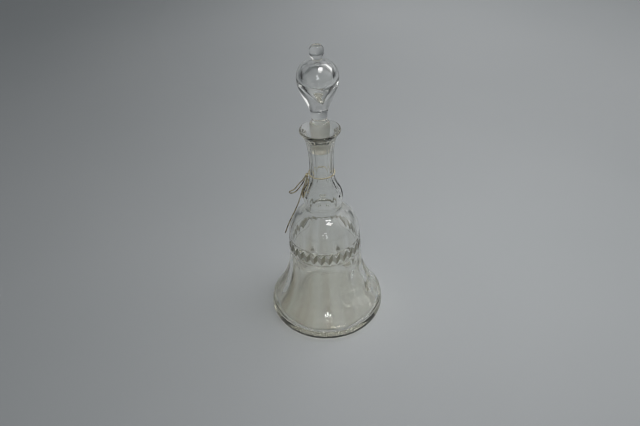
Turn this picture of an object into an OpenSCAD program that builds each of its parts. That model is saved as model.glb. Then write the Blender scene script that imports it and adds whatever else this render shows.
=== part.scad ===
// Bell-shaped glass decanter: one blown body with a fluted skirt and a fluted neck, a ground glass
// stopper with a teardrop of air in its head, and a length of twine tied in a bow round the neck.
// Origin: centre of the foot, on the table. +Z runs up the axis. The front faces -Y.

/* [Body] */
// Radius of the widest part of the foot
foot_r = 60; // [54:1:66]
// Thickness of the glass floor under the wine
floor_t = 7; // [5:0.5:9]
// Height of the hollow pushed up under the foot
push_up = 2.2; // [1:0.2:3]
// Outer radius of the turned-out lip
lip_r = 19.5; // [19:0.1:20]

/* [Flutes] */
// Number of flutes round the skirt and round the neck
flutes = 12; // [10:1:16]
// Height of the arch tops of the skirt flutes
skirt_top = 81; // [78:1:82]
// How much of a flat panel the flutes are cut to: 1 leaves a knife edge between two flutes
flute_cut = 0.93; // [0.5:0.01:0.95]

/* [Engraved band] */
// Height of the upper engraved line
upper_line_z = 101; // [98:0.5:103]
// Height of the lower engraved line
lower_line_z = 83.7; // [83:0.1:86]
// Width of an engraved line
line_w = 1.2; // [0.8:0.1:2]
// Depth of an engraved line
line_depth = 0.15; // [0.1:0.05:0.3]

/* [Stopper] */
// Radius of the round head at its widest
head_r = 18.9; // [17:0.1:20]
// Radius of the air drop inside the head
drop_r = 13.4; // [8:0.1:15]
// Radius of the little ball on top
knob_r = 6.5; // [5.5:0.1:7.5]
// Radial play between the ground plug and the neck
plug_play = 0.06; // [0.04:0.01:0.1]

/* [Twine] */
// Thickness of the twine
twine_d = 1.2; // [1:0.1:1.3]
// Height of the twine round the neck
twine_z = 173.2; // [172:0.1:175]

/* [Hidden] */
$fn = 96;
steps = 4;
glass = [0.80, 0.84, 0.85, 0.45];
twine = [0.56, 0.47, 0.31];

// Foot and skirt, from the resting ring outwards and up to the engraved band
ring_in = foot_r - 12;
ring_out = foot_r - 6;
skirt = [[ring_out, 0], [foot_r - 2.8, 1.4], [foot_r - 0.7, 5], [foot_r, 10], [foot_r - 1.4, 17.5],
         [54, 25.5], [46.4, 38], [40.5, 55], [37.6, 74], [36.8, 94]];
// Shoulder, waist, bulb and neck, up to the lip
shoulder_z = 109.5;
waist_z = 132.2;
// Height at which the neck's flutes end, on the widest part of the bulb
neck_flute_foot = 145;
bulb_z = 146;
crown = [[35.4, shoulder_z], [31.6, 119], [25.2, 125.6], [18.6, 129], [17, waist_z], [18.6, 137.5],
         [19.9, bulb_z], [18.2, 154.5], [14.8, 161], [12.4, 168], [11.6, 180], [12.1, 193],
         [13.7, 205.5], [16.5, 214.5]];
// Rounded edge of the lip, as a half circle
lip_z = 219.4;
lip_edge = 1.2;
// Inside: the dished mouth, the ground seat, then the bore, the bulb, the waist and the hold
mouth = [[17.2, 219.6], [13.4, 217.2], [10.4, 213.2]];
bore = [[7.6, 188], [7.7, 173], [9.6, 163.5], [13, 156], [15.6, 149.5], [15.8, 143], [14.5, 136.5],
        [13.4, 131.5]];
hold = [[15.2, 127], [22, 122], [28.3, 115.5], [31.7, 107], [33.1, 94], [33.4, 80], [35, 62],
        [38, 47.5], [41.4, 38], [45.4, 30], [49.8, 23.5], [53.6, 17.5], [54.6, 12.6]];
corner_drop = 1.8;

// Ground plug: a taper, the same on the stopper and on the seat
plug_bottom = 198;
plug_top = 226;
seat_top = 210;
plug_r0 = 7.85;
plug_slope = 0.058;

// Stopper above the plug
stem = [[9.1, 227.2], [8.4, 228.3], [7.4, 229.4], [7.3, 233], [8.3, 240], [10.5, 246], [13.2, 252],
        [15.9, 258]];
head = [[18, 264], [head_r, 270.5], [18.5, 276.2], [16.2, 281.2], [12, 285.2], [7.8, 287.4],
        [4.5, 288.5]];
knob = [[4.4, 289.6], [knob_r - 0.7, 291.8], [knob_r, 295.4], [knob_r - 0.5, 298.6], [4.2, 301],
        [1.8, 301.7]];
total_h = 301.7;
// Teardrop of air, from its round top to its pointed foot
drop_top = 283.5;
drop_tip = 250;
drop = [[0, drop_top], [0.5 * drop_r, 281.8], [0.86 * drop_r, 277.6], [drop_r, 271.5],
        [0.84 * drop_r, 265.5], [0.5 * drop_r, 259.5], [0.21 * drop_r, 254], [0, drop_tip]];

// Twine: ring, knot and the three free stretches, all tied at the left of the neck
loop_r = 12.65;
knot_at = [-14.4, -2.2, 171.4];
knot_r = 1.7;
knot_half = 3.2;
long_tail = [[-14.3, -1.7, 169.8], [-14.9, -1.6, 167.4], [-15.7, -1.4, 165], [-16.9, -1.2, 161.5],
             [-18.3, -0.8, 157.5], [-19.9, -0.4, 153.5], [-21, -0.2, 149.5], [-22, 0, 145.5],
             [-23.5, 0, 141], [-25.3, 0, 136], [-27.4, 0, 131], [-29.6, 0, 126], [-32, 0, 121],
             [-34.3, 0, 116], [-36.4, 0, 111], [-38.3, 0, 106], [-40.2, 0, 100.5]];
left_bow = [[-15.8, -0.9, 170.6], [-16.5, -1.1, 167.8], [-17.5, -1.2, 165], [-18.9, -1.2, 162.3],
            [-20.6, -1.2, 159.8], [-22.4, -1.2, 157.2], [-24.2, -1.3, 154.8], [-26.4, -1.6, 152.7],
            [-29, -1.9, 151.4], [-31.6, -1.4, 151], [-32.8, 0.4, 150.8], [-31.4, 1.9, 151.2],
            [-28.8, 2, 152.2], [-26.6, 1.7, 154.4], [-24.8, 1.6, 157], [-22.9, 1.5, 159.6],
            [-20.6, 1.3, 162.2], [-18.4, 1, 164.9], [-16.8, 0.8, 167.6], [-15.6, 0.6, 170.2]];
front_bow = [[-14.4, -3.2, 169.8], [-14.6, -3.5, 167.2], [-15, -3.7, 164.6], [-15.9, -3.9, 162],
             [-17.2, -4, 159.4], [-18.5, -4.2, 156.8], [-19.5, -4.5, 154], [-20, -5.2, 151.4],
             [-19.9, -7, 149.9], [-19, -8.8, 150.6], [-18.2, -9.3, 152.9], [-17.3, -8.9, 155.6],
             [-15.9, -8.5, 158.4], [-14.5, -8, 161.4], [-13.5, -7.2, 164.4], [-13.2, -6.2, 167.2],
             [-13.6, -5, 169.6]];
twine_sides = 8;

// Point at share t between b and c on the smooth curve through a, b, c and d
function between(a, b, c, d, t) =
    0.5 * (2 * b + (c - a) * t + (2 * a - 5 * b + 4 * c - d) * t * t
           + (3 * b - a - 3 * c + d) * t * t * t);

// Smooth line through every point of a list
function smooth(p) =
    let (last = len(p) - 1)
    [for (i = [0 : last - 1], k = [0 : steps - 1])
         between(p[max(i - 1, 0)], p[i], p[i + 1], p[min(i + 2, last)], k / steps),
     p[last]];

// Half circle that rounds the edge of the lip, from its underside to its inside
function lip_round() =
    [for (a = [-50 : 20 : 130])
         [lip_r - lip_edge + lip_edge * cos(a), lip_z + lip_edge * sin(a)]];

// Radius of the ground taper at a height
function taper(z) = plug_r0 + plug_slope * (z - plug_bottom);

outer_wall = smooth(concat(skirt, crown));
// Points halfway between the wall's own, so that a flute's edges never lie on the wall's edges
mid_wall = [for (i = [1 : len(outer_wall) - 1]) (outer_wall[i - 1] + outer_wall[i]) / 2];
inner_wall = concat(
    smooth(mouth),
    [[taper(seat_top) + plug_play, seat_top], [taper(plug_bottom) + plug_play, plug_bottom]],
    smooth(concat(bore, hold)),
    [[hold[len(hold) - 1].x - corner_drop, floor_t + corner_drop],
     [hold[len(hold) - 1].x - 3 * corner_drop, floor_t]]);

// Share of the radius that a flute takes away, growing from nothing over a run of height
function depth(z, low, high, run) =
    flute_cut * (1 - cos(180 / flutes)) * min(1, (high - z) / run, (z - low) / run);

// Section through one flute: everything outside its bottom line, between two heights
module flute_section(low, high, run) {
    line = [for (p = mid_wall) if (p.y > low && p.y < high)
                [p.x * (1 - depth(p.y, low, high, run)), p.y]];
    reach = foot_r + 10;
    polygon(concat([[reach, low]], [[line[0].x + 1, low]], line,
                   [[line[len(line) - 1].x + 1, high], [reach, high]]));
}

// Ring of flutes; the first one lies at the given turn from the front
module flute_ring(low, high, run, turn) {
    width = 2 * foot_r * tan(180 / flutes) + 2;
    for (k = [0 : flutes - 1])
        rotate([0, 0, k * 360 / flutes + turn - 90])
            rotate([90, 0, 0])
                linear_extrude(width, center = true)
                    flute_section(low, high, run);
}

// Groove of an engraved line round the body
module engraved_line(z, r) {
    difference() {
        translate([0, 0, z - line_w / 2]) cylinder(h = line_w, r = r + 2);
        translate([0, 0, z - line_w]) cylinder(h = 2 * line_w, r = r - line_depth);
    }
}

// Radius of the body's outside at a height
function wall_r(z) = lookup(z, [for (p = outer_wall) [p.y, p.x]]);

module decanter() {
    color(glass)
    difference() {
        rotate_extrude()
            polygon(concat([[0, push_up], [ring_in - 18, 0.75 * push_up], [ring_in - 5, 0.3 * push_up],
                            [ring_in, 0]],
                           outer_wall, lip_round(), inner_wall, [[0, floor_t]]));
        flute_ring(low = 14, high = skirt_top, run = 9, turn = 0);
        flute_ring(low = neck_flute_foot, high = 213, run = 5, turn = 180 / flutes);
        engraved_line(upper_line_z, wall_r(upper_line_z));
        engraved_line(lower_line_z, wall_r(lower_line_z));
    }
}

module stopper() {
    color(glass)
    difference() {
        rotate_extrude()
            polygon(concat([[0, plug_bottom], [plug_r0 - 1.2, plug_bottom],
                            [plug_r0 - 0.3, plug_bottom + 0.5], [taper(plug_bottom + 1.6), plug_bottom + 1.6],
                            [taper(plug_top), plug_top]],
                           smooth(concat(stem, head, knob)), [[0, total_h]]));
        rotate_extrude() polygon(smooth(drop));
    }
}

module string_loop() {
    color(twine)
        translate([0, 0, twine_z])
            rotate_extrude()
                translate([loop_r, 0]) circle(d = twine_d, $fn = 24);
}

module string_knot() {
    color(twine)
        translate(knot_at)
            rotate([90, 0, 0])
                rotate_extrude($fn = 32)
                    polygon([for (a = [-90 : 15 : 90]) [knot_r * cos(a), knot_half * sin(a)]]);
}

// Direction of a route at point i
function heading(route, i) =
    let (d = route[min(i + 1, len(route) - 1)] - route[max(i - 1, 0)]) d / norm(d);

// Ring of points round point i of a route, started from a direction that the route never takes
function twine_ring(route, i, across) =
    let (ahead = heading(route, i),
         lean = across - (across * ahead) * ahead,
         side = lean / norm(lean),
         up = cross(ahead, side))
    [for (k = [0 : twine_sides - 1])
         let (a = 360 * k / twine_sides)
         route[i] + twine_d / 2 * (cos(a) * side + sin(a) * up)];

// One free stretch of twine, swept along its route
module twine_run(route, across) {
    rings = len(route);
    n = twine_sides;
    skin = [for (i = [0 : rings - 2], k = [0 : n - 1])
                let (j = (k + 1) % n) [i * n + k, i * n + j, (i + 1) * n + j, (i + 1) * n + k]];
    ends = [[for (k = [n - 1 : -1 : 0]) k], [for (k = [0 : n - 1]) (rings - 1) * n + k]];
    color(twine)
        polyhedron([for (i = [0 : rings - 1]) each twine_ring(route, i, across)], concat(skin, ends));
}

module string_long_tail() {
    twine_run(long_tail, across = [0, 1, 0]);
}

module string_left_bow() {
    twine_run(left_bow, across = [4, 0, -3]);
}

module string_front_bow() {
    twine_run(front_bow, across = [1, 0, 0]);
}

decanter();
stopper();
string_loop();
string_knot();
string_long_tail();
string_left_bow();
string_front_bow();
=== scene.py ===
import math
import random

import bpy
import numpy as np
from mathutils import Matrix, Vector


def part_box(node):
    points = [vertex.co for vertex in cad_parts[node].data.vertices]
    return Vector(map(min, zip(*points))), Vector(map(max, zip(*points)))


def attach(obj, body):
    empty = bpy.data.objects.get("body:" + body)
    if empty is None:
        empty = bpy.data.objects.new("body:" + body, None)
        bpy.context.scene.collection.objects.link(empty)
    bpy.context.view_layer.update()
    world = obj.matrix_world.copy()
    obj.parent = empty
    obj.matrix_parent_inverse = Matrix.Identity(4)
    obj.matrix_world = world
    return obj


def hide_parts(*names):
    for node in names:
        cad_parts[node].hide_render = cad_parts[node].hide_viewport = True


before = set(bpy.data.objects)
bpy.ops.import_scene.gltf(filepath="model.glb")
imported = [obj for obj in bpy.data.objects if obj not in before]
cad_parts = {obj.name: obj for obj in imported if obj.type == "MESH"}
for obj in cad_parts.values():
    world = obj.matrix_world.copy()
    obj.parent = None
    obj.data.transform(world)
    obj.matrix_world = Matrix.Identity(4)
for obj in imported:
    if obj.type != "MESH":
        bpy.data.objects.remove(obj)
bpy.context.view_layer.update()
MM = 0.001
SEED = 7

# Camera: where it stands, how it looks down and its small tilt
CAM_BACK = 0.5237
CAM_UP = 0.5177
LOOK_DOWN = math.radians(36.95)
LOOK_RIGHT = math.radians(-0.40)
CAM_TILT = math.radians(-2.78)
LENS = 36.56

# Decanter outline in millimetres, (radius, height), the points that part.scad draws it through
WALL = [(54, 0), (57.2, 1.4), (59.3, 5), (60, 10), (58.6, 17.5), (54, 25.5), (46.4, 38), (40.5, 55),
        (37.6, 74), (36.8, 94), (35.4, 109.5), (31.6, 119), (25.2, 125.6), (18.6, 129), (17, 132.2),
        (18.6, 137.5), (19.9, 146), (18.2, 154.5), (14.8, 161), (12.4, 168), (11.6, 180), (12.1, 193),
        (13.7, 205.5), (16.5, 214.5)]
UNDERSIDE = [(30, 1.65), (43, 0.66), (48, 0), (51, 0), (53.4, 0)]
MOUTH = [(17.2, 219.6), (13.4, 217.2), (10.4, 213.2), (8.6, 210)]
SEAT = [(8.6, 210), (8.25, 204), (7.91, 198)]
BORE = [(7.91, 198), (7.6, 188), (7.7, 173), (9.6, 163.5), (13, 156), (15.6, 149.5), (15.8, 143),
        (14.5, 136.5), (13.4, 131.5)]
HOLD = [(13.4, 131.5), (15.2, 127), (22, 122), (28.3, 115.5), (31.7, 107), (33.1, 94), (33.4, 80),
        (35, 62), (38, 47.5), (41.4, 38), (45.4, 30), (49.8, 23.5), (53.6, 17.5), (54.6, 12.6),
        (53.4, 9), (49.8, 7.3), (44, 7)]
LIP_EDGE = 1.2
LIP_Z = 219.4
LIP_R = 19.5
PUSH_UP = 2.2
FLOOR_Z = 7.0

# Flutes: how many, how deep they are hollowed, the runs of height that they take as (foot, top,
# length of each end) and how far the skirt's ridges are worn round
FLUTES = 12
SKIRT_CUT = 1.7
NECK_CUTS = ((150, 1.05), (190, 1.3))
SKIRT_RUN = (13, 83, 26)
NECK_RUN = (144, 213, 8)
SKIRT_WEAR = 0.75
COLUMNS = 180

# Engraved band: two lines and a zigzag ribbon between them
LINES = (83.7, 101.0)
LINE_HALF = 0.8
LINE_DEPTH = 0.15
RIBBON_MID = 92.1
RIBBON_HALF = 3.8
RIBBON_SWING = 2.6
RIBBON_TEETH = 30
RIBBON_DEPTH = 0.3
RIBBON_TURN = math.radians(1)

# Stopper outline in millimetres, and the drop of air in its head
PLUG = [(7.0, 198.1), (7.7, 198.7), (7.94, 199.8), (8.5, 209), (9.1, 219.5), (9.45, 225.6),
        (9.1, 227.2), (8.4, 228.3)]
STEM = [(8.4, 228.3), (7.4, 229.4), (7.3, 233), (8.3, 240), (10.5, 246), (13.2, 252), (15.9, 258),
        (18, 264), (18.9, 270.5), (18.5, 276.2), (16.2, 281.2), (12, 285.2), (7.8, 287.4),
        (4.5, 288.5), (4.4, 289.6), (5.8, 291.8), (6.5, 295.4), (6, 298.6), (4.2, 301), (1.8, 301.7)]
DROP = [(6.7, 281.8), (11.52, 277.6), (13.4, 271.5), (11.26, 265.5), (6.7, 259.5), (2.81, 254)]
DROP_TOP = 283.5
DROP_TIP = 250
DROP_LEAN = 2.2

# Twine in millimetres: thickness, the step between the points of a free stretch, the height of the
# turn round the neck, and the routes of the free stretches, as part.scad has them
TWINE_D = 1.2
TWINE_STEP = 0.3
TWINE_Z = 173.2
LONG_TAIL = [(-14.3, -1.7, 169.8), (-14.9, -1.6, 167.4), (-15.7, -1.4, 165), (-16.9, -1.2, 161.5),
             (-18.3, -0.8, 157.5), (-19.9, -0.4, 153.5), (-21, -0.2, 149.5), (-22, 0, 145.5),
             (-23.5, 0, 141), (-25.3, 0, 136), (-27.4, 0, 131), (-29.6, 0, 126), (-32, 0, 121),
             (-34.3, 0, 116), (-36.4, 0, 111), (-38.3, 0, 106), (-40.2, 0, 100.5)]
LEFT_BOW = [(-15.8, -0.9, 170.6), (-16.5, -1.1, 167.8), (-17.5, -1.2, 165), (-18.9, -1.2, 162.3),
            (-20.6, -1.2, 159.8), (-22.4, -1.2, 157.2), (-24.2, -1.3, 154.8), (-26.4, -1.6, 152.7),
            (-29, -1.9, 151.4), (-31.6, -1.4, 151), (-32.8, 0.4, 150.8), (-31.4, 1.9, 151.2),
            (-28.8, 2, 152.2), (-26.6, 1.7, 154.4), (-24.8, 1.6, 157), (-22.9, 1.5, 159.6),
            (-20.6, 1.3, 162.2), (-18.4, 1, 164.9), (-16.8, 0.8, 167.6), (-15.6, 0.6, 170.2)]
FRONT_BOW = [(-14.4, -3.2, 169.8), (-14.6, -3.5, 167.2), (-15, -3.7, 164.6), (-15.9, -3.9, 162),
             (-17.2, -4, 159.4), (-18.5, -4.2, 156.8), (-19.5, -4.5, 154), (-20, -5.2, 151.4),
             (-19.9, -7, 149.9), (-19, -8.8, 150.6), (-18.2, -9.3, 152.9), (-17.3, -8.9, 155.6),
             (-15.9, -8.5, 158.4), (-14.5, -8, 161.4), (-13.5, -7.2, 164.4), (-13.2, -6.2, 167.2),
             (-13.6, -5, 169.6)]


# ---------------------------------------------------------------- small tools

def link(name, data):
    """A new object for some data, in the scene."""
    thing = bpy.data.objects.new(name, data)
    bpy.context.scene.collection.objects.link(thing)
    return thing


def between(a, b, c, d, t):
    """Point at share t between b and c on the smooth curve through a, b, c and d."""
    return 0.5 * (2 * b + (c - a) * t + (2 * a - 5 * b + 4 * c - d) * t ** 2
                  + (3 * b - a - 3 * c + d) * t ** 3)


def smooth(points, steps):
    """Smooth line through every point of a list, as an array."""
    p = np.array(points, float)
    last = len(p) - 1
    line = []
    for i in range(last):
        near = p[max(i - 1, 0)], p[i], p[i + 1], p[min(i + 2, last)]
        line += [between(*near, k / steps) for k in range(steps)]
    return np.array(line + [p[last]])


def evenly(line, step):
    """The same line with its points a step apart."""
    run = np.concatenate([[0], np.cumsum(np.linalg.norm(np.diff(line, axis=0), axis=1))])
    places = np.linspace(0, run[-1], max(2, round(run[-1] / step)) + 1)
    return np.stack([np.interp(places, run, line[:, k]) for k in range(line.shape[1])], -1)


def grid_faces(rows, columns, first=0):
    """Quads between rings of points, each ring closed on itself."""
    faces = []
    for row in range(rows - 1):
        for k in range(columns):
            j = (k + 1) % columns
            low = first + row * columns
            faces.append((low + k, low + j, low + columns + j, low + columns + k))
    return faces


def mesh_object(name, points, faces, material, finishes=None):
    """A smooth-shaded mesh object; finishes names each face's surface finish."""
    mesh = bpy.data.meshes.new(name)
    mesh.from_pydata([tuple(p) for p in points], [], faces)
    mesh.materials.append(material)
    if finishes is not None:
        for finish in FINISHES:
            mark = mesh.attributes.new(finish, "FLOAT", "FACE")
            mark.data.foreach_set("value", [strength(finish, face.center) * (f == finish)
                                            for f, face in zip(finishes, mesh.polygons)])
    mesh.polygons.foreach_set("use_smooth", [True] * len(mesh.polygons))
    mesh.update()
    return link(name, mesh)


# ---------------------------------------------------------------- materials

class Shader:
    """A node material, with short ways to add and join nodes."""

    def __init__(self, name):
        self.material = bpy.data.materials.new(name)
        self.material.use_nodes = True
        self.nodes = self.material.node_tree.nodes
        self.links = self.material.node_tree.links
        self.main = self.nodes["Principled BSDF"]
        self.output = self.nodes["Material Output"]

    def set(self, **values):
        for name, value in values.items():
            self.main.inputs[name.replace("_", " ")].default_value = value

    def add(self, kind, **values):
        node = self.nodes.new(kind)
        for name, value in values.items():
            if hasattr(node, name):
                setattr(node, name, value)
            else:
                node.inputs[name.replace("_", " ")].default_value = value
        return node

    def join(self, out, into):
        self.links.new(out, into)

    def feed(self, value, into):
        """Joins an output to a socket, or sets a plain number on it."""
        if isinstance(value, float):
            into.default_value = value
        else:
            self.join(value, into)

    def place(self):
        """Object coordinates."""
        return self.add("ShaderNodeTexCoord").outputs["Object"]

    def noise(self, scale, detail=3.0, stretch=None):
        """Noise in the object's own space; stretch draws it out along the axes."""
        node = self.add("ShaderNodeTexNoise", Scale=scale, Detail=detail)
        place = self.place()
        if stretch is not None:
            turn = self.add("ShaderNodeMapping")
            turn.inputs["Scale"].default_value = stretch
            self.join(place, turn.inputs["Vector"])
            place = turn.outputs["Vector"]
        self.join(place, node.inputs["Vector"])
        return node.outputs["Fac"]

    def ramp(self, value, stops):
        """A colour ramp with the given (place, colour) stops."""
        node = self.add("ShaderNodeValToRGB")
        marks = node.color_ramp.elements
        while len(marks) < len(stops):
            marks.new(0.5)
        for mark, (place, colour) in zip(marks, stops):
            mark.position = place
            mark.color = (*colour, 1)
        self.join(value, node.inputs["Fac"])
        return node.outputs["Color"]

    def bump(self, height, depth, strength=1.0):
        """Bumps on the main shader, of a depth in metres."""
        node = self.add("ShaderNodeBump", Distance=depth, Strength=strength)
        self.join(height, node.inputs["Height"])
        self.join(node.outputs["Normal"], self.main.inputs["Normal"])

    def mix(self, share, first, second, kind="RGBA"):
        """The first value where share is 0, the second where it is 1."""
        node = self.add("ShaderNodeMix", data_type=kind)
        sockets = kind.replace("FLOAT", "VALUE")
        ways = [s for s in node.inputs if s.name in ("A", "B") and s.type == sockets]
        self.join(share, node.inputs["Factor"])
        self.feed(first, ways[0])
        self.feed(second, ways[1])
        return [s for s in node.outputs if s.type == sockets][0]

    def spread(self, value, low, high):
        """A value between 0 and 1 taken to a range."""
        node = self.add("ShaderNodeMapRange")
        node.inputs["To Min"].default_value = low
        node.inputs["To Max"].default_value = high
        self.join(value, node.inputs["Value"])
        return node.outputs["Result"]

    def let_lamps_in(self, colour):
        """Lets lamps light what stands inside or behind the glass, less a share at each face."""
        path = self.add("ShaderNodeLightPath")
        clear = self.add("ShaderNodeBsdfTransparent", Color=(*colour, 1))
        both = self.add("ShaderNodeMixShader")
        self.join(path.outputs["Is Shadow Ray"], both.inputs[0])
        self.join(self.main.outputs["BSDF"], both.inputs[1])
        self.join(clear.outputs["BSDF"], both.inputs[2])
        self.join(both.outputs["Shader"], self.output.inputs["Surface"])

    def tint_inside(self, colour, density):
        """Colours thick glass by how far light runs through it."""
        node = self.add("ShaderNodeVolumeAbsorption", Color=(*colour, 1), Density=density)
        self.join(node.outputs["Volume"], self.output.inputs["Volume"])


# Glass: the colour of its depth, how fast that colour grows, and the share of lamplight that each
# face lets in
GLASS_TINT = (0.96, 0.947, 0.885)
BODY_DENSITY = 42.0
STOPPER_DENSITY = 12.0
LAMP_SHARE = (0.8, 0.8, 0.79)

# The finishes that its faces can have. Heights in metres: film lies below FILM_TOP and is thin below
# FILM_FLOOR, and whatever is ground above SEAT_FOOT is the plug or its seat
FINISHES = ("engraved", "ground", "film", "air")
FILM_TOP = 0.105
FILM_FLOOR = 0.013
SEAT_FOOT = 0.15


def film_strength(place, turn):
    """Wine film inside the skirt: thickest low down on the left, in streaks, thin on the floor; its rise
    and fall with the flutes is painted light and shade.
    """
    left = min(1.0, max(0.0, 0.5 - place.x / 0.07))
    low = min(1.0, max(0.0, (FILM_TOP - place.z) / 0.05))
    # Painted light and shade: the cosine term follows the flutes and paints the light and dark bands that
    # the fluted skirt throws; the sine terms are streaks of the film itself
    ribs = 0.6 + 0.28 * math.cos(FLUTES * turn) + 0.14 * math.sin(17 * turn + 40 * place.z)
    ribs += 0.08 * math.sin(37 * turn - 25 * place.z + 1)
    return (0.36 + 0.74 * left) * low * ribs * (0.3 if place.z < FILM_FLOOR else 1.0)


def strength(finish, place):
    """How strong a finish is at a place. The two strokes of a tooth differ as painted light and shade of
    two cut facets, and the engraved lines are lighter than the ground plug and seat."""
    turn = math.atan2(place.x, -place.y)
    if finish == "engraved":
        tooth = 2 * math.pi / RIBBON_TEETH
        # Painted light and shade: the stroke at 0.7 is painted lighter as the lit facet, the one at 1.0
        # darker as the shaded facet
        return 1.0 if (turn + RIBBON_TURN) % tooth > tooth / 2 else 0.7
    if finish == "ground":
        return 1.0 if place.z > SEAT_FOOT else 0.5
    if finish == "film":
        return film_strength(place, turn)
    return 1.0


def glass(name, density):
    """Old clear glass. The marks on its faces say where it is engraved, ground or filmed over."""
    m = Shader(name)
    m.set(IOR=1.52)
    grit = m.noise(2600, 4)
    rings = m.noise(900, 3, (0.25, 0.25, 3.0))
    streaks = m.noise(60, 5, (1, 1, 0.22))
    patches = m.noise(14, 3)
    # Each finish has a colour, a roughness and a share of light let through
    # Engraved: the grey of frosted glass, darkened further as painted shade for the dark look that the
    # band takes from its surroundings
    looks = {"engraved": (m.ramp(grit, [(0.3, (0.17, 0.16, 0.11)), (0.7, (0.33, 0.315, 0.235))]),
                          m.spread(m.noise(700, 3), 0.42, 0.62), m.spread(grit, 0.72, 0.86)),
             "ground": (m.ramp(m.noise(120, 4), [(0.35, (0.74, 0.725, 0.66)), (0.7, (0.85, 0.84, 0.80))]),
                        m.spread(rings, 0.25, 0.45), 1.0),
             "film": (m.ramp(patches, [(0.35, (0.73, 0.68, 0.57)), (0.7, (0.56, 0.505, 0.37))]),
                      m.spread(streaks, 0.0, 0.2), m.spread(streaks, 0.98, 0.68)),
             "air": (m.ramp(m.noise(150, 3), [(0.3, (0.93, 0.935, 0.925)), (0.7, (0.97, 0.975, 0.97))]),
                     m.spread(m.noise(80, 3), 0.05, 0.08), 1.0)}
    colour = m.ramp(m.noise(9, 2), [(0.3, (0.98, 0.988, 0.98)), (0.7, (0.992, 0.995, 0.992))])
    rough = m.spread(m.noise(20, 2), 0.002, 0.01)
    through = 1.0
    for finish in FINISHES:
        mark = m.add("ShaderNodeAttribute", attribute_name=finish).outputs["Fac"]
        look_colour, look_rough, look_through = looks[finish]
        colour = m.mix(mark, colour, look_colour)
        rough = m.mix(mark, rough, look_rough, "FLOAT")
        through = m.mix(mark, through, look_through, "FLOAT")
    m.join(colour, m.main.inputs["Base Color"])
    m.join(rough, m.main.inputs["Roughness"])
    m.join(through, m.main.inputs["Transmission Weight"])
    m.bump(m.noise(45, 1.5), 0.00025, 0.35)
    m.let_lamps_in(LAMP_SHARE)
    m.tint_inside(GLASS_TINT, density)
    return m.material


def twine_fibre(name, soiled):
    """Natural twine: uneven straw fibres, darker where it is soiled."""
    m = Shader(name)
    m.set(Roughness=0.85, Sheen_Weight=0.35)
    m.main.inputs["Specular IOR Level"].default_value = 0.2
    soil = m.noise(160, 3)
    strand = m.noise(2400, 4, (1, 1, 0.3))
    base = m.ramp(soil, [(0.3 + soiled, (0.09, 0.07, 0.05)), (0.40 + soiled, (0.38, 0.33, 0.22)),
                         (0.52 + soiled, (0.62, 0.585, 0.44))])
    fleck = m.ramp(strand, [(0.3, (0.55, 0.52, 0.48)), (0.7, (1.25, 1.2, 1.1))])
    mix = m.add("ShaderNodeMix", data_type="RGBA", blend_type="MULTIPLY")
    mix.inputs["Factor"].default_value = 1.0
    m.join(base, mix.inputs["A"])
    m.join(fleck, mix.inputs["B"])
    m.join(mix.outputs["Result"], m.main.inputs["Base Color"])
    m.bump(strand, 0.0002, 0.8)
    return m.material


def sheet_cloth():
    """The pale blue-grey sheet that the decanter stands on."""
    m = Shader("pale_sheet")
    m.set(Roughness=0.9)
    m.main.inputs["Specular IOR Level"].default_value = 0.15
    m.join(m.ramp(m.noise(1.6, 3), [(0.3, (0.50, 0.525, 0.535)), (0.7, (0.54, 0.56, 0.57))]),
           m.main.inputs["Base Color"])
    m.bump(m.noise(500, 3), 0.0003, 0.15)
    return m.material


# ---------------------------------------------------------------- camera, light and floor

def make_camera():
    data = bpy.data.cameras.new("camera")
    data.lens = LENS
    data.sensor_width = 36.0
    data.clip_start = 0.01
    camera = link("camera", data)
    turn = (Matrix.Rotation(-LOOK_RIGHT, 4, "Z")
            @ Matrix.Rotation(math.pi / 2 - LOOK_DOWN, 4, "X")
            @ Matrix.Rotation(CAM_TILT, 4, "Z"))
    camera.matrix_world = Matrix.Translation((0, -CAM_BACK, CAM_UP)) @ turn
    bpy.context.scene.camera = camera


MIDDLE = Vector((0, 0, 0.13))
WARM_LIGHT = (1.0, 0.985, 0.98)
COOL_LIGHT = (0.95, 0.98, 1.0)
PANES_ACROSS = 5
PANES_UP = 4


def window(name, azimuth, height, distance, size, power, colour=WARM_LIGHT, aim=MIDDLE, beam=180):
    """A soft light seen from the decanter's middle at an azimuth and height in degrees. It faces its
    aim, and its light spreads over a beam in degrees."""
    a = math.radians(azimuth)
    e = math.radians(height)
    data = bpy.data.lights.new(name, "AREA")
    data.shape = "RECTANGLE"
    data.size, data.size_y = size
    data.energy = power
    data.color = colour
    data.spread = math.radians(beam)
    lamp = link(name, data)
    lamp.location = MIDDLE + distance * Vector((math.sin(a) * math.cos(e), -math.cos(a) * math.cos(e),
                                                math.sin(e)))
    lamp.rotation_euler = (aim - lamp.location).to_track_quat("-Z", "Y").to_euler()


def make_lights():
    window("skylight", 75, 78, 0.72, (0.18, 0.2), 0.79, aim=Vector((0.2, 0.12, 0)), beam=110)
    window("side_window", 117, 42, 1.3, (1.5, 1.3), 5.2)
    window("back_window", 165, 50, 1.6, (0.3, 0.3), 0.45, aim=Vector((0.2, 0.95, 0)), beam=60)
    for pane in range(PANES_ACROSS * PANES_UP):
        column = pane % PANES_ACROSS - PANES_ACROSS // 2
        row = pane // PANES_ACROSS
        window("front_pane_%d" % pane, 3.6 * column + 2, 24 + 4.0 * row + 3 * (row // 2), 1.7,
               (0.046, 0.05), 0.13, COOL_LIGHT)


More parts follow.
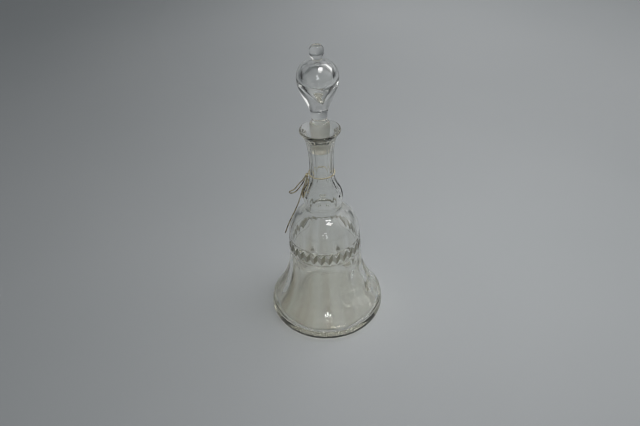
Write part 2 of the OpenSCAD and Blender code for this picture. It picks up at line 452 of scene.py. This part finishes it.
def make_room():
    """The dim light of the room: brightest some way up, and bright behind the far edge of the sheet."""
    world = bpy.data.worlds.new("room")
    bpy.context.scene.world = world
    world.use_nodes = True
    tree = world.node_tree
    walls = tree.nodes["Background"]
    walls.inputs["Strength"].default_value = 0.29
    place = tree.nodes.new("ShaderNodeTexCoord")
    split = tree.nodes.new("ShaderNodeSeparateXYZ")
    tree.links.new(place.outputs["Generated"], split.inputs["Vector"])
    up = sky_ramp(tree, split.outputs["Z"], [(0.0, 0.12), (0.1, 0.6), (0.3, 1.0), (0.8, 0.4)])
    behind = sky_ramp(tree, split.outputs["Y"], [(0.72, 0.0), (0.93, 1.0)])
    most = tree.nodes.new("ShaderNodeMix")
    most.data_type = "RGBA"
    most.blend_type = "LIGHTEN"
    most.inputs["Factor"].default_value = 1.0
    colours = [s for s in most.inputs if s.type == "RGBA"]
    tree.links.new(up, colours[0])
    tree.links.new(behind, colours[1])
    tree.links.new([s for s in most.outputs if s.type == "RGBA"][0], walls.inputs["Color"])


def sky_ramp(tree, value, stops):
    """Cool greys of the room by a share of the direction that light comes from."""
    node = tree.nodes.new("ShaderNodeValToRGB")
    marks = node.color_ramp.elements
    while len(marks) < len(stops):
        marks.new(0.5)
    for mark, (place, grey) in zip(marks, stops):
        mark.position = place
        mark.color = (0.93 * grey, 0.97 * grey, grey, 1)
    tree.links.new(value, node.inputs["Fac"])
    return node.outputs["Color"]


# How wide the sheet is, as a share of how far it reaches back
SHEET_WIDTH = 0.66


def make_floor():
    """A wide flat sheet whose rim curls up a little."""
    profile = smooth([(0, 0), (0.4, 0), (0.9, 0), (1.5, 0), (1.85, 0.02), (2.0, 0.1)], 8)
    columns = 96
    turn = np.arange(columns) * 2 * np.pi / columns
    rings = np.stack([np.stack([SHEET_WIDTH * r * np.sin(turn), r * np.cos(turn), np.full(columns, z)], -1)
                      for r, z in profile[1:]])
    points = np.concatenate([[(0, 0, 0)], rings.reshape(-1, 3)])
    faces = [(0, 1 + (k + 1) % columns, 1 + k) for k in range(columns)]
    faces += grid_faces(len(rings), columns, 1)
    floor = mesh_object("pale_floor", points, faces, sheet_cloth())


def set_look():
    scene = bpy.context.scene
    scene.view_settings.view_transform = "Standard"
    scene.cycles.max_bounces = 24
    scene.cycles.transmission_bounces = 24
    scene.cycles.glossy_bounces = 8
    scene.cycles.blur_glossy = 0.3
    scene.cycles.filter_width = 1.1


# ---------------------------------------------------------------- twine

def side_of(line):
    """Directions along a line, and two sideways ones carried along it without twist."""
    ahead = np.gradient(line, axis=0)
    ahead /= np.linalg.norm(ahead, axis=1)[:, None]
    side = np.cross(ahead[0], (0.3, 1, 0.2))
    sides = []
    for a in ahead:
        side = side - a * (side @ a)
        side /= np.linalg.norm(side)
        sides.append(side)
    sides = np.array(sides)
    return sides, np.cross(ahead, sides)


def tube(line, radius, corners):
    """Points and faces of a tube along a line, closed at both ends; radius may differ along it."""
    side, up = side_of(line)
    turn = np.arange(corners) * 2 * np.pi / corners
    radius = np.broadcast_to(radius, len(line))
    points = (line[:, None] + radius[:, None, None]
              * (np.cos(turn)[None, :, None] * side[:, None]
                 + np.sin(turn)[None, :, None] * up[:, None])).reshape(-1, 3)
    faces = grid_faces(len(line), corners)
    faces.append(tuple(range(corners - 1, -1, -1)))
    faces.append(tuple((len(line) - 1) * corners + k for k in range(corners)))
    return points, faces


PLIES = 3
PLY_TURN = 3.6
PLY_OUT = 0.29
PLY_R = 0.34


def twine_mesh(name, line, material, seed):
    """Three plies twisted round a line in millimetres, with loose fibres standing off them."""
    rng = random.Random(SEED + seed)
    side, up = side_of(line)
    run = np.concatenate([[0], np.cumsum(np.linalg.norm(np.diff(line, axis=0), axis=1))])
    points, faces = [], []
    count = 0

    def keep(p, f):
        nonlocal count
        points.append(p)
        faces.extend(tuple(count + i for i in face) for face in f)
        count += len(p)

    uneven = 1 + 0.06 * np.sin(run * 1.7 + seed) + 0.05 * np.sin(run * 4.1 + 2 * seed)
    for ply in range(PLIES):
        turn = 2 * np.pi * (ply / PLIES + run / PLY_TURN)
        path = line + PLY_OUT * (np.cos(turn)[:, None] * side + np.sin(turn)[:, None] * up)
        keep(*tube(path, PLY_R * uneven, 8))
    for _ in range(int(run[-1] * 1.1)):
        at = rng.randrange(2, len(line) - 2)
        out = rng.uniform(0, 2 * math.pi)
        away = math.cos(out) * side[at] + math.sin(out) * up[at]
        along = (line[at + 1] - line[at - 1]) * rng.choice((-1, 1))
        along = along / np.linalg.norm(along)
        reach = rng.uniform(0.35, 1.0)
        base = line[at] + away * (TWINE_D / 2 - 0.12)
        hair = np.array([base, base + 0.4 * reach * away + 0.35 * reach * along,
                         base + 0.65 * reach * away + 0.9 * reach * along])
        keep(*tube(smooth(hair, 3), np.linspace(0.028, 0.012, 7), 4))
    return mesh_object(name, np.concatenate(points) * MM, faces, material)


def make_cords(material):
    """The free stretches of the twine."""
    for node, route, far_end in (("string_long_tail", LONG_TAIL, "bare"),
                                 ("string_left_bow", LEFT_BOW, "knot"),
                                 ("string_front_bow", FRONT_BOW, "knot")):
        line = evenly(smooth(route, 12), TWINE_STEP)
        piece = twine_mesh(node.replace("string", "twine"), line, material, len(route))
        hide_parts(node)
        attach(piece, "decanter")


def make_ring(material):
    """The turn of twine that is drawn tight round the fluted neck."""
    turn = np.linspace(0, 2 * np.pi, 400)
    pitch = 2 * np.pi / FLUTES
    phase = (turn + pitch / 2) % pitch - pitch / 2
    low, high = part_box("string_loop")
    radius = (high.x - low.x) / 2 / MM - TWINE_D / 2
    reach = radius - 0.2 * (1 - np.cos(phase * FLUTES)) / 2
    line = np.stack([reach * np.sin(turn), -reach * np.cos(turn),
                     TWINE_Z + 0.25 * np.sin(turn * 2 + 1)], -1)
    ring = twine_mesh("twine_ring", line, material, 3)
    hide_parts("string_loop")
    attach(ring, "decanter")


def make_knot(material):
    """A tight bow knot: the twine passes over and under itself three times."""
    low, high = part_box("string_knot")
    middle = np.array((low + high) / 2) / MM
    half = np.array((high - low) / 2) / MM - TWINE_D / 2 + 0.1
    t = np.linspace(0, 2 * np.pi, 160)
    lobes = np.stack([0.55 * np.sin(3 * t), (np.sin(t) + 2 * np.sin(2 * t)) / 3,
                      (np.cos(t) - 2 * np.cos(2 * t)) / 3], -1)
    spread = np.array([half[0] * 1.1, half[1], half[2]])
    knot = twine_mesh("twine_knot", middle + lobes * spread, material, 5)
    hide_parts("string_knot")
    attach(knot, "decanter")


# ---------------------------------------------------------------- decanter

def zigzag(turn):
    """Triangle wave round the band, 1 at each upper tooth, -1 at each lower one."""
    step = 2 * np.pi / RIBBON_TEETH
    phase = ((turn + RIBBON_TURN) % step) / step
    return 4 * np.abs(phase - 0.5) - 1


def flute(radius, height, turn, run, offset, deep, soft):
    """A radius cut back to hollow flutes that meet in ridges, over one run of height. The ridges
    are sharp where soft is 0 and worn round where it is 1."""
    low, high, fade = run
    pitch = 2 * np.pi / FLUTES
    across = ((turn - offset + pitch / 2) % pitch - pitch / 2) / (pitch / 2)
    grow = np.clip(np.minimum((high - height) / fade, (height - low) / fade), 0, 1)
    flat = 1 - math.cos(pitch / 2)
    sharp = grow - across ** 2
    worn = grow * (0.5 + 0.5 * np.cos(np.pi * across))
    cut = deep * flat * ((1 - soft) * sharp + soft * worn)
    return radius * (1 - np.clip(cut, 0, None))


def wall_levels():
    """The wall's rings: (height, swing of the zigzag, depth cut, finish above this ring)."""
    wall = smooth(WALL, 8)
    rings = []
    low, high = LINES[0] - 2 * LINE_HALF, LINES[1] + 2 * LINE_HALF
    for r, z in wall:
        if not low - 0.4 < z < high + 0.4:
            rings.append((z, 0.0, 0.0, "clear"))
    band = []
    for line in LINES:
        for share, depth in ((-1, 0), (-0.5, 0.9), (0, 1), (0.5, 0.9), (1, 0)):
            finish = "ground" if share < 1 else "clear"
            band.append((line + share * LINE_HALF, 0.0, LINE_DEPTH * depth, finish))
    foot, top = RIBBON_MID - RIBBON_HALF, RIBBON_MID + RIBBON_HALF
    for share in (0, 0.03, 0.12, 0.25, 0.4, 0.5, 0.6, 0.75, 0.88, 0.97, 1):
        depth = RIBBON_DEPTH * min(1, 4 * share, 4 * (1 - share)) ** 0.6
        finish = "engraved" if share < 1 else "clear"
        band.append((foot + share * (top - foot), RIBBON_SWING, depth, finish))
    for share in (0.35, 0.7):
        band.append((LINES[0] + LINE_HALF + share * (foot - LINES[0] - LINE_HALF),
                     share * RIBBON_SWING, 0.0, "clear"))
        band.append((LINES[1] - LINE_HALF - share * (LINES[1] - LINE_HALF - top),
                     share * RIBBON_SWING, 0.0, "clear"))
    band += [(low, 0.0, 0.0, "clear"), (high, 0.0, 0.0, "clear")]
    return sorted(rings + band)


def outer_rings(turn):
    """Rings of the decanter's outside, from the foot to under the lip, and the finish above each."""
    wall = smooth(WALL, 24)
    rings, finishes = [], []
    for level, swing, depth, finish in wall_levels():
        z = level + swing * zigzag(turn)
        r = np.interp(z, wall[:, 1], wall[:, 0])
        r = flute(r, z, turn, SKIRT_RUN, 0.0, SKIRT_CUT, SKIRT_WEAR)
        r = flute(r, z, turn, NECK_RUN, math.pi / FLUTES, np.interp(z, *zip(*NECK_CUTS)), 0.0)
        rings.append(np.stack([(r - depth) * np.sin(turn), -(r - depth) * np.cos(turn), z], -1))
        finishes.append(finish)
    return rings, finishes


def round_rings(line, turn):
    """Plain rings of revolution through (radius, height) points."""
    return [np.stack([r * np.sin(turn), -r * np.cos(turn), np.full(len(turn), z)], -1)
            for r, z in line]


def inner_rings(line, turn):
    """Rings inside the hold, whose wall follows the flutes a little and waves on the right."""
    rings = []
    for r, z in line:
        grow = np.clip(min((z - 16) / 12, (90 - z) / 20), 0, 1)
        follow = 0.35 * np.cos(FLUTES * turn)
        waves = 0.8 * np.sin(z / 5.8 + 1.8 * np.sin(2 * turn)) * np.clip(np.sin(turn + 0.3), 0, 1)
        wall = r - grow * (follow - waves)
        rings.append(np.stack([wall * np.sin(turn), -wall * np.cos(turn), np.full(len(turn), z)], -1))
    return rings


def make_decanter(material):
    turn = np.arange(COLUMNS) * 2 * np.pi / COLUMNS + RIBBON_TURN
    under = smooth(UNDERSIDE, 4)[:-1]
    outside, outside_finishes = outer_rings(turn)
    edge = [(LIP_R - LIP_EDGE + LIP_EDGE * math.cos(a), LIP_Z + LIP_EDGE * math.sin(a))
            for a in np.radians(np.arange(-50, 131, 12))]
    parts = [(round_rings([(0.5, PUSH_UP), (10, 2.1), (20, 1.9)], turn), "clear"),
             (round_rings(under, turn), "clear"),
             (outside, outside_finishes),
             (round_rings(edge, turn), "clear"),
             (round_rings(smooth(MOUTH, 6)[:-1], turn), "clear"),
             (round_rings(smooth(SEAT, 3)[:-1], turn), "ground"),
             (round_rings(smooth(BORE, 7)[:-1], turn), "clear"),
             (inner_rings(smooth(HOLD, 9), turn), "film"),
             (round_rings([(34, FLOOR_Z), (20, FLOOR_Z), (8, FLOOR_Z), (0.5, FLOOR_Z)], turn), "film")]
    rings, finishes = [], []
    for some, finish in parts:
        for k, ring in enumerate(some):
            rings.append(ring)
            finishes += [finish if isinstance(finish, str) else finish[k]] * COLUMNS
    finishes = finishes[:-COLUMNS]
    points = np.array(rings).reshape(-1, 3)
    faces = grid_faces(len(rings), COLUMNS)
    last = (len(rings) - 1) * COLUMNS
    faces.append(tuple(range(COLUMNS - 1, -1, -1)))
    faces.append(tuple(last + k for k in range(COLUMNS)))
    finishes += ["clear", "film"]
    body = mesh_object("decanter_glass", points * MM, faces, material, finishes)
    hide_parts("decanter")
    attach(body, "decanter")


# ---------------------------------------------------------------- stopper

def shell(line, foot, top, turn, first):
    """A closed surface of revolution with a point at each end."""
    rings = np.array(round_rings(line, turn)).reshape(-1, 3)
    points = np.concatenate([[(0, 0, foot)], rings, [(0, 0, top)]])
    columns = len(turn)
    end = first + 1 + len(rings)
    last = end - columns
    faces = [(first, first + 1 + (k + 1) % columns, first + 1 + k) for k in range(columns)]
    faces += grid_faces(len(line), columns, first + 1)
    faces += [(end, last + k, last + (k + 1) % columns) for k in range(columns)]
    return points, faces


def make_stopper(material):
    columns = 128
    turn = np.radians(np.arange(columns) * 360 / columns)
    plug = smooth(PLUG, 5)[:-1]
    stem = smooth(STEM, 8)
    low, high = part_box("stopper")
    outline = np.concatenate([plug, stem])
    points, faces = shell(outline, low.z / MM, high.z / MM, turn, 0)
    finishes = ["ground"] * columns * (len(plug) + 1)
    finishes += ["clear"] * (len(faces) - len(finishes))
    drop = smooth(DROP[::-1], 8)
    air, air_faces = shell(drop, DROP_TIP, DROP_TOP, turn, len(points))
    air[:, 0] += DROP_LEAN * np.clip((DROP[2][1] - air[:, 2]) / (DROP[2][1] - DROP_TIP), 0, 1) ** 2
    faces += [face[::-1] for face in air_faces]
    finishes += ["air"] * len(air_faces)
    stopper = mesh_object("stopper_glass", np.concatenate([points, air]) * MM, faces, material,
                          finishes)
    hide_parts("stopper")
    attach(stopper, "stopper")


# ---------------------------------------------------------------- the whole scene

set_look()
make_camera()
soiled = twine_fibre("soiled_twine", 0.05)
make_cords(soiled)
make_ring(twine_fibre("straw_twine", -0.08))
make_knot(soiled)
make_decanter(glass("old_glass", BODY_DENSITY))
make_stopper(glass("stopper_glass", STOPPER_DENSITY))
make_floor()
make_lights()
make_room()
